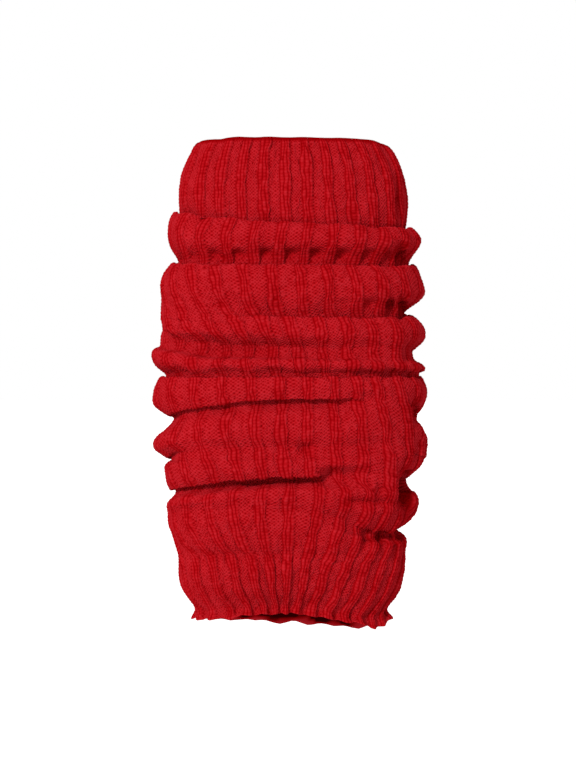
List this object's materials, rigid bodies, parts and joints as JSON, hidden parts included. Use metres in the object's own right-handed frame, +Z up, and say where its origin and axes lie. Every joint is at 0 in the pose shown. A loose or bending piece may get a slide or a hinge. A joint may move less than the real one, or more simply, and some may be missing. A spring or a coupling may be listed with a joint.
{
  "type": "leg warmer",
  "caption": "Single slouched leg warmer in wide chunky rib knit: an open hollow tube with a plain cuff, soft rolled folds down its length and a slightly flared hem.",
  "frame": {"origin": "centre of the top opening, where the wearer's leg holds the cuff up", "axes": "+Z up along the leg, -Y the front, +X to the right of someone facing the front"},
  "size_m": [0.1829, 0.1094, 0.322],
  "materials": {
    "rib_knit_yarn": "matte chunky acrylic and wool yarn, red, in a wide rib of plain and purl stitches"
  },
  "bodies": {
    "root": {"rib_knit_tube": "rib_knit_yarn"}
  },
  "joints": []
}
